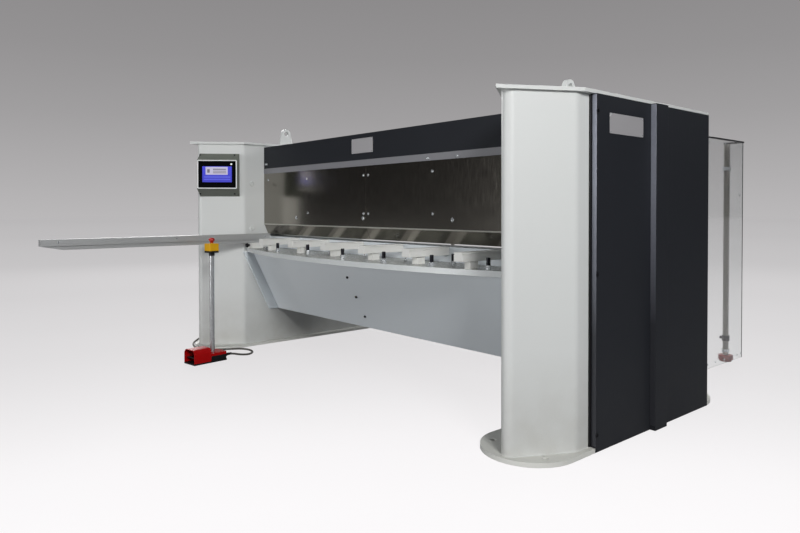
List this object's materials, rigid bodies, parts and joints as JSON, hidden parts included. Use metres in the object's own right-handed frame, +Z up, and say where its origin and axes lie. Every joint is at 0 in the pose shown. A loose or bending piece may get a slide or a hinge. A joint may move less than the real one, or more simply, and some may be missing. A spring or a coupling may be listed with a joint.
{
  "type": "hydraulic plate shear",
  "caption": "Hydraulic guillotine shear: pointed columns, raked blade beam behind a steel guard, bowed table with support arms, foot pedal and clear rear guards.",
  "frame": {"origin": "on the floor, midway between the two columns and between the front and rear anchor holes", "axes": "+X to the right seen from the operator's side, +Y from the operator to the back, +Z up"},
  "size_m": [3.46, 3.7319, 1.687],
  "materials": {
    "column_paint": "light grey structured powder coat",
    "cover_paint": "anthracite structured powder coat",
    "beam_paint": "mid grey structured powder coat",
    "guard_steel": "brushed stainless sheet",
    "table_paint": "light grey paint",
    "table_steel": "pale grey paint on machined plate",
    "arm_paint": "off-white paint",
    "blade_steel": "ground tool steel",
    "arm_aluminium": "natural anodised",
    "enclosure_paint": "olive grey powder coat",
    "bezel_plastic": "moulded white",
    "display_glass": "black display cover",
    "pedal_red": "moulded red",
    "pedal_black": "moulded black",
    "pole_steel": "satin steel tube",
    "stop_yellow": "moulded yellow",
    "stop_red": "moulded red",
    "cable_grey": "smooth sheath",
    "guard_clear": "clear polycarbonate sheet",
    "post_paint": "grey paint",
    "rail_dark": "dark edge profile",
    "foot_red": "dark red polyurethane"
  },
  "bodies": {
    "machine": {"back_gauge_arms": "arm_aluminium", "back_gauge_bar": "blade_steel", "back_gauge_carriages": "blade_steel", "back_gauge_screws": "blade_steel", "beam_cover": "cover_paint", "bracket_knob": "pedal_black", "column_gland": "pole_steel", "control_bezel": "bezel_plastic", "control_enclosure": "enclosure_paint", "control_glass": "display_glass", "cutting_beam": "column_paint", "hold_down_beam": "column_paint", "hold_down_feet": "blade_steel", "left_base_plate": "column_paint", "left_column": "column_paint", "left_front_cover": "cover_paint", "left_guard_panel": "guard_steel", "left_lifting_lug": "column_paint", "left_rear_cover": "cover_paint", "left_rear_guard_panel": "guard_clear", "left_ridge_cover": "cover_paint", "left_table_end_plate": "table_paint", "left_top_plate": "column_paint", "lower_blade": "blade_steel", "pedal_base": "pedal_black", "pedal_cable": "cable_grey", "pedal_gland": "pedal_black", "pedal_hood": "pedal_red", "rear_guard_angles": "post_paint", "rear_guard_feet": "foot_red", "rear_guard_posts": "post_paint", "rear_guard_rails": "rail_dark", "right_base_plate": "column_paint", "right_column": "column_paint", "right_front_cover": "cover_paint", "right_guard_panel": "guard_steel", "right_lifting_lug": "column_paint", "right_rear_cover": "cover_paint", "right_rear_guard_panel": "guard_clear", "right_ridge_cover": "cover_paint", "right_table_end_plate": "table_paint", "right_top_plate": "column_paint", "sheet_chute": "table_steel", "squaring_arm": "arm_aluminium", "squaring_bracket": "arm_paint", "stop_base": "pedal_black", "stop_housing": "stop_yellow", "stop_pole": "pole_steel", "support_arms": "arm_paint", "table_apron": "table_paint", "table_bed": "table_paint", "table_plate": "table_steel", "upper_beam": "beam_paint", "upper_blade": "blade_steel"},
    "stop_button": {"stop_button": "stop_red"},
    "treadle": {"pedal_treadle": "pedal_black"}
  },
  "joints": [
    {"name": "stop_button_press", "type": "slide", "parent": "machine", "child": "stop_button", "axis": [0, 0, -1], "range_m": [0, 0.005]},
    {"name": "treadle_press", "type": "hinge", "parent": "machine", "child": "treadle", "pos_m": [-1.01105, -0.99786, 0.03], "axis": [0.9914, 0.1305, 0], "range_deg": [0, 10], "stiffness_Nm_per_rad": 20, "springref_deg": -2.86}
  ]
}
